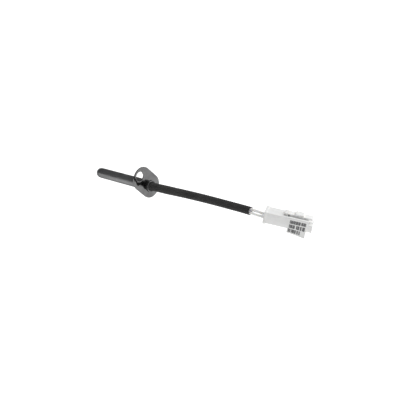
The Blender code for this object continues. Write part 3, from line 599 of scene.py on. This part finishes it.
def buildBraid():
    braid = {"carriers": 10, "pitch": 11.5, "steps": 470, "wave": 0.07, "crown": 0.05, "cover": 0.94,
             "level": 2.0, "liner": 1.88, "bulge": 0.06, "taper": 0.17, "endFlare": 0.05}
    path = sleevePath()
    frames, length = carriedFrames(path, braid["steps"])
    bm = bmesh.new()
    layer = bm.loops.layers.uv.new("mmMap")
    lengthMm = length / mm
    halfTurn = math.pi / braid["carriers"] * braid["cover"] * 0.5

    def girth(at):  # how far the sleeve stands out along its length
        rise = braid["bulge"] * math.exp(-((at - 15) / 5) ** 2)
        rise -= braid["taper"] * min(max((at - 14) / 40, 0), 1)
        return rise + braid["endFlare"] * max(0, (at - lengthMm + 1.6) / 1.6) ** 2

    def onTube(at, angle, radius):
        spot = min(max(at / lengthMm, 0), 1) * braid["steps"]
        index = min(int(spot), braid["steps"] - 1)
        share = spot - index
        (p, s, u), (q, t, v) = frames[index], frames[index + 1]
        side, up = s.lerp(t, share), u.lerp(v, share)
        return p.lerp(q, share) + (side * math.cos(angle) + up * math.sin(angle)) * radius * mm

    for hand in (1, -1):
        for carrier in range(braid["carriers"]):
            start = set(bm.verts)
            bmesh.ops.create_grid(bm, x_segments=braid["steps"], y_segments=4, size=0.5)
            mine = [v for v in bm.verts if v not in start]
            trim = 0.35 * math.sin(carrier * 2.4 + hand)  # the cut end is a little uneven
            for vert in mine:
                share, across = vert.co.x + 0.5, vert.co.y * 2
                at = share * (lengthMm - 0.35 + trim * 0.6)
                phase = math.tau * at / braid["pitch"]
                centre = math.tau * carrier / braid["carriers"] + hand * phase
                wave = hand * math.cos(braid["carriers"] * phase) * braid["wave"]
                radius = braid["level"] + wave + braid["crown"] * (1 - 2.2 * across * across) + girth(at)
                for loop in vert.link_loops:
                    loop[layer].uv = (at, across * 0.4 + carrier)
                vert.co = onTube(at, centre + hand * across * halfTurn, radius)
    bmesh.ops.recalc_face_normals(bm, faces=bm.faces)
    middle = [p for p, s, u in frames]
    for face in bm.faces:  # ribbons face away from the sleeve's axis
        centre = face.calc_center_median()
        share = (centre.x / mm - lead["sleeveStart"]) / lengthMm
        near = middle[min(max(int(share * braid["steps"]), 0), braid["steps"])]
        if face.normal.dot(centre - near) < 0:
            face.normal_flip()
    start = set(bm.faces)
    inner = bmesh.ops.create_cone(bm, cap_ends=False, segments=32, radius1=0.5, radius2=0.5, depth=1.0)
    rim = [e for e in bm.edges if e.is_valid and all(v in inner["verts"] for v in e.verts)
           and abs(e.verts[0].co.z - e.verts[1].co.z) > 0.5]
    bmesh.ops.subdivide_edges(bm, edges=rim, cuts=60, use_grid_fill=True)
    fresh = [f for f in bm.faces if f not in start]
    tube = {v for f in fresh for v in f.verts}
    for vert in tube:
        at = (vert.co.z + 0.5) * (lengthMm - 0.5)
        angle = math.atan2(vert.co.y, vert.co.x)
        vert.co = onTube(at, angle, braid["liner"] + girth(at))
        for loop in vert.link_loops:
            loop[layer].uv = (at, angle * 2)
    bmesh.ops.solidify(bm, geom=fresh, thickness=0.12 * mm)
    piece = finishPiece(bm, "braidSleeve", braidBlack(), probe, ["lead_sleeve"], 60,
                        repair=False)
    return piece, path, length


def buildLead():
    braid, path, length = buildBraid()
    insulation = insulationWhite()
    copper = plainFinish("copperStrand", (0.72, 0.4, 0.26), (0.5, 0.25, 0.15), 0.35, 1.0, 2500)
    rows = len(lead["route"])
    pieces = []
    for letter, side in (("a", 1), ("b", -1)):
        jacket = wirePath(side, 1, rows + 2)
        pieces.append(sweptTube(jacket, lead["wireRadius"], "wire" + letter.upper(), insulation, probe,
                                ["wire_" + letter]))
        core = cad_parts["core_" + letter]
        core.material_slots[0].material = copper
    return braid, path, length, pieces


# plug: housing, latch, label and contacts, in the plug's own frame

def inPlug(bm):
    bmesh.ops.transform(bm, matrix=toPlug, verts=bm.verts)
    return bm


plug = {
    "length": 19.5, "halfWidth": 3.7, "halfHeight": 2.55, "rim": 1.2, "rimStep": 0.3,
    "noseLength": 2.2, "noseHeight": 3.3, "noseInset": 0.4, "slot": 0.3,
    "cavity": 2.0, "pin": 1.2, "pitch": 2.5, "drop": 0.8, "edge": 0.18,
    "pedestal": (8.6, 10.2), "latchHalf": 2.0, "webTop": 3.65, "windows": (12.6, 14.4),
}


def buildHousing():
    h, w, end = plug["halfHeight"], plug["halfWidth"], plug["length"]
    step = plug["rimStep"]
    noseHalf = w - plug["noseInset"]
    noseLow = -plug["drop"] - plug["noseHeight"] / 2
    noseTop = noseLow + plug["noseHeight"]
    noseEnd = end + plug["noseLength"]
    steps = [
        ("UNION", boxBetween((0, -w - step, -h - step), (plug["rim"], w + step, h + step), 0.2, 4)),
        ("UNION", boxBetween((end - 1, -noseHalf, noseLow), (noseEnd, noseHalf, noseTop), 0.22, 4)),
        ("UNION", boxBetween((plug["pedestal"][0], -plug["latchHalf"], h - 0.5),
                             (plug["pedestal"][1], plug["latchHalf"], plug["webTop"]), 0.12, 4)),
    ]
    for side in (1, -1):
        y = side * plug["pitch"] / 2
        c, p, z = plug["cavity"] / 2 + 0.02, plug["pin"] / 2, -plug["drop"]
        steps.append(("DIFFERENCE", boxBetween((-1, y - c, z - c), (end - 0.3, y + c, z + c))))
        steps.append(("DIFFERENCE", boxBetween((end - 1, y - p, z - p), (noseEnd + 1, y + p, z + p))))
        for start, size in ((-0.25, c), (noseEnd - 0.3, p)):
            reach = size + 0.001
            bell = boxBetween((start, y - reach, z - reach), (start + 0.55, y + reach, z + reach))
            wide = -1 if start < 0 else 1
            bmesh.ops.scale(bell, vec=(1, 1 + 0.3 / size, 1 + 0.3 / size),
                            space=Matrix.Translation((0, -y * mm, -z * mm)),
                            verts=[v for v in bell.verts if (v.co.x / mm - start - 0.27) * wide > 0])
            steps.append(("DIFFERENCE", bell))
        first, last = plug["windows"]
        steps.append(("DIFFERENCE", boxBetween((first, y - 0.55, -h - 1), (last, y + 0.55, -h + 0.62))))
    steps.append(("DIFFERENCE", boxBetween((end + 0.4, -plug["slot"] / 2, noseLow - 1),
                                           (noseEnd + 1, plug["slot"] / 2, noseTop + 1))))
    for x in (3.0, 6.6):
        pin = bmesh.new()
        bmesh.ops.create_cone(pin, cap_ends=True, segments=32, radius1=0.6 * mm, radius2=0.6 * mm,
                              depth=0.1 * mm)
        bmesh.ops.translate(pin, verts=pin.verts, vec=Vector((x, 0, h)) * mm)
        steps.append(("DIFFERENCE", pin))
    body = boxBetween((plug["rim"] / 2, -w, -h), (end, w, h), plug["edge"], 4)
    return finishPiece(inPlug(carved(body, steps)), "plugHousing", nylonWhite("nylonHousing"), probe,
                       ["connector_housing"], 25)


def buildLatch():
    lever = {"hinge": 10.25, "web": 0.8, "webThick": 0.35, "arm": 2.2, "thumb": 3.8, "thumbTop": 4.2,
             "tongue": 4.0, "tongueTop": 3.6, "floor": 2.6, "ridges": 3}
    half = plug["latchHalf"]
    start, floor = lever["hinge"], lever["floor"]
    armStart = start + lever["web"]
    thumbStart = armStart + lever["arm"]
    thumbEnd = thumbStart + lever["thumb"]
    body = boxBetween((thumbStart, -half, floor), (thumbEnd, half, lever["thumbTop"]), 0.16, 4)
    steps = [("UNION", boxBetween((start, -half + 0.05, plug["webTop"] - lever["webThick"]),
                                  (armStart + 0.5, half - 0.05, plug["webTop"]))),
             ("UNION", boxBetween((armStart, -half + 0.1, floor + 0.05),
                                  (thumbEnd + lever["tongue"], half - 0.1, lever["tongueTop"]), 0.14, 4))]
    for ridge in range(lever["ridges"]):
        x = thumbStart + 0.9 + ridge * 0.8
        groove = boxBetween((x, -half - 1, lever["thumbTop"] - 0.12),
                            (x + 0.28, half + 1, lever["thumbTop"] + 1))
        steps.append(("DIFFERENCE", groove))
    # the latch's nylon gets a lighter base colour (0.94) than the housing's (0.87): painted light, a lit
    # copy of the same nylon
    return finishPiece(inPlug(carved(body, steps)), "latchLever", nylonWhite("nylonLatchPaintedLight", 0.94), latch,
                       ["latch_lever"], 25)


label = {
    "start": 11.0, "length": 8.2, "flap": 1.3, "tail": 2.1, "thick": 0.16, "skew": 0.13, "curl": 0.06,
    "rows": [(2.3, 0.75, 7.9, 3), (4.3, 0.65, 7.75, 8), (6.25, 0.55, 5.9, 5)],  # top, first, last, seed
    "rowHeight": 1.6, "block": 0.24, "pitch": 1.1, "space": 0.06,
}


def buildLabel():
    w, h = plug["halfWidth"] + 0.05, plug["halfHeight"]
    fold, flap = 0.28, label["flap"]
    panel = 2 * h + label["tail"]
    whole = flap + panel
    bm = bmesh.new()
    layer = bm.loops.layers.uv.new("mmMap")
    bmesh.ops.create_grid(bm, x_segments=40, y_segments=90, size=0.5)
    for vert in bm.verts:
        along, down = (vert.co.x + 0.5) * label["length"], (vert.co.y + 0.5) * whole
        for loop in vert.link_loops:
            loop[layer].uv = (along, down)
        lift = label["thick"]
        if down < flap - fold:
            y, z = -w - lift + flap - down, h + 0.05 + lift
        elif down < flap + fold:
            turn = (down - flap + fold) / (2 * fold) * math.pi / 2
            y, z = -w - lift + fold - fold * math.sin(turn), h + 0.05 + lift - fold + fold * math.cos(turn)
        else:
            y, z = -w - lift, h + 0.05 + lift - (down - flap)
        below = max(0, -z - h) / label["tail"]
        z -= along * label["skew"] * max(0, -z / (h + label["tail"]))
        y += label["curl"] * below ** 2 * math.sin(along / label["length"] * math.pi * 1.3 + 0.4) * 2
        y += 0.008 * math.sin(along * 2.3 + down * 1.1)
        vert.co = Vector((label["start"] + along, y, z)) * mm
    bmesh.ops.recalc_face_normals(bm, faces=bm.faces)
    if sum((f.normal.y for f in bm.faces)) > 0:
        bmesh.ops.reverse_faces(bm, faces=bm.faces)
    bmesh.ops.solidify(bm, geom=bm.faces[:], thickness=label["thick"] * mm * 0.8)
    return finishPiece(inPlug(bm), "dataSticker", stickerPaper(), probe, ["label"], 60,
                       repair=False)


def finishInside():  # the pieces that only a cutaway or the open ends show
    ceramic = plainFinish("ceramicWhite", (0.84, 0.83, 0.8), (0.74, 0.73, 0.69), 0.45, 0, 1500)
    tin = plainFinish("tinPlate", (0.7, 0.69, 0.66), (0.5, 0.49, 0.47), 0.3, 1.0, 1800, 0.008)
    looks = {
        ceramic: ["cell_disc", "insulator"],
        tin: ["cell_lead_a", "cell_lead_b", "splice_a", "splice_b", "terminal_a", "terminal_b"],
        plainFinish("resinClear", (0.7, 0.66, 0.58), (0.6, 0.55, 0.46), 0.15, 0, 700): ["cell_cap"],
        plainFinish("trackRed", (0.42, 0.13, 0.06), (0.3, 0.08, 0.04), 0.5, 0, 2600): ["cell_track"],
        plainFinish("holderWhite", (0.82, 0.81, 0.78), (0.72, 0.71, 0.68), 0.5, 0, 1300): ["cell_holder"],
        plainFinish("spliceSleeving", (0.75, 0.73, 0.66), (0.62, 0.6, 0.52), 0.6, 0, 3000, 0.03):
            ["splice_tube_a", "splice_tube_b"],
        plainFinish("pottingBlack", (0.03, 0.03, 0.03), (0.012, 0.012, 0.012), 0.4, 0, 800):
            ["potting_plug"],
    }
    for material, nodes in looks.items():
        for node in nodes:
            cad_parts[node].material_slots[0].material = material


def buildFloor():
    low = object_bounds()[0][2]
    bm = bmesh.new()
    bmesh.ops.create_grid(bm, x_segments=8, y_segments=8, size=60)
    bmesh.ops.translate(bm, verts=bm.verts, vec=(0, 0, low - studio["floorDrop"] * mm))
    mesh = bpy.data.meshes.new("floor")
    bm.to_mesh(mesh)
    bm.free()
    paper = Finish("floorPaper", (0.93, 0.93, 0.93), 0.8, Emission_Color=(1, 1, 1, 1),
                   Emission_Strength=studio["floorGlow"], Specular_IOR_Level=0.1)
    paper.feed("Base Color", paper.mixed(paper.noise(3, 2), (0.93, 0.93, 0.93), (0.945, 0.945, 0.945)))
    mesh.materials.append(paper.material)
    floor = bpy.data.objects.new("floor", mesh)
    scene.collection.objects.link(floor)


braid, braidPath, braidLength, wires = buildLead()
print("lead built")
buildTube()
buildLens()
buildSeals()
buildPlate()
print("probe built")
housing = buildHousing()
lever = buildLatch()
sticker = buildLabel()
print("plug built")
finishInside()
buildFloor()

wires + [housing, lever, sticker, "core_a", "core_b", "terminal_a", "terminal_b"]
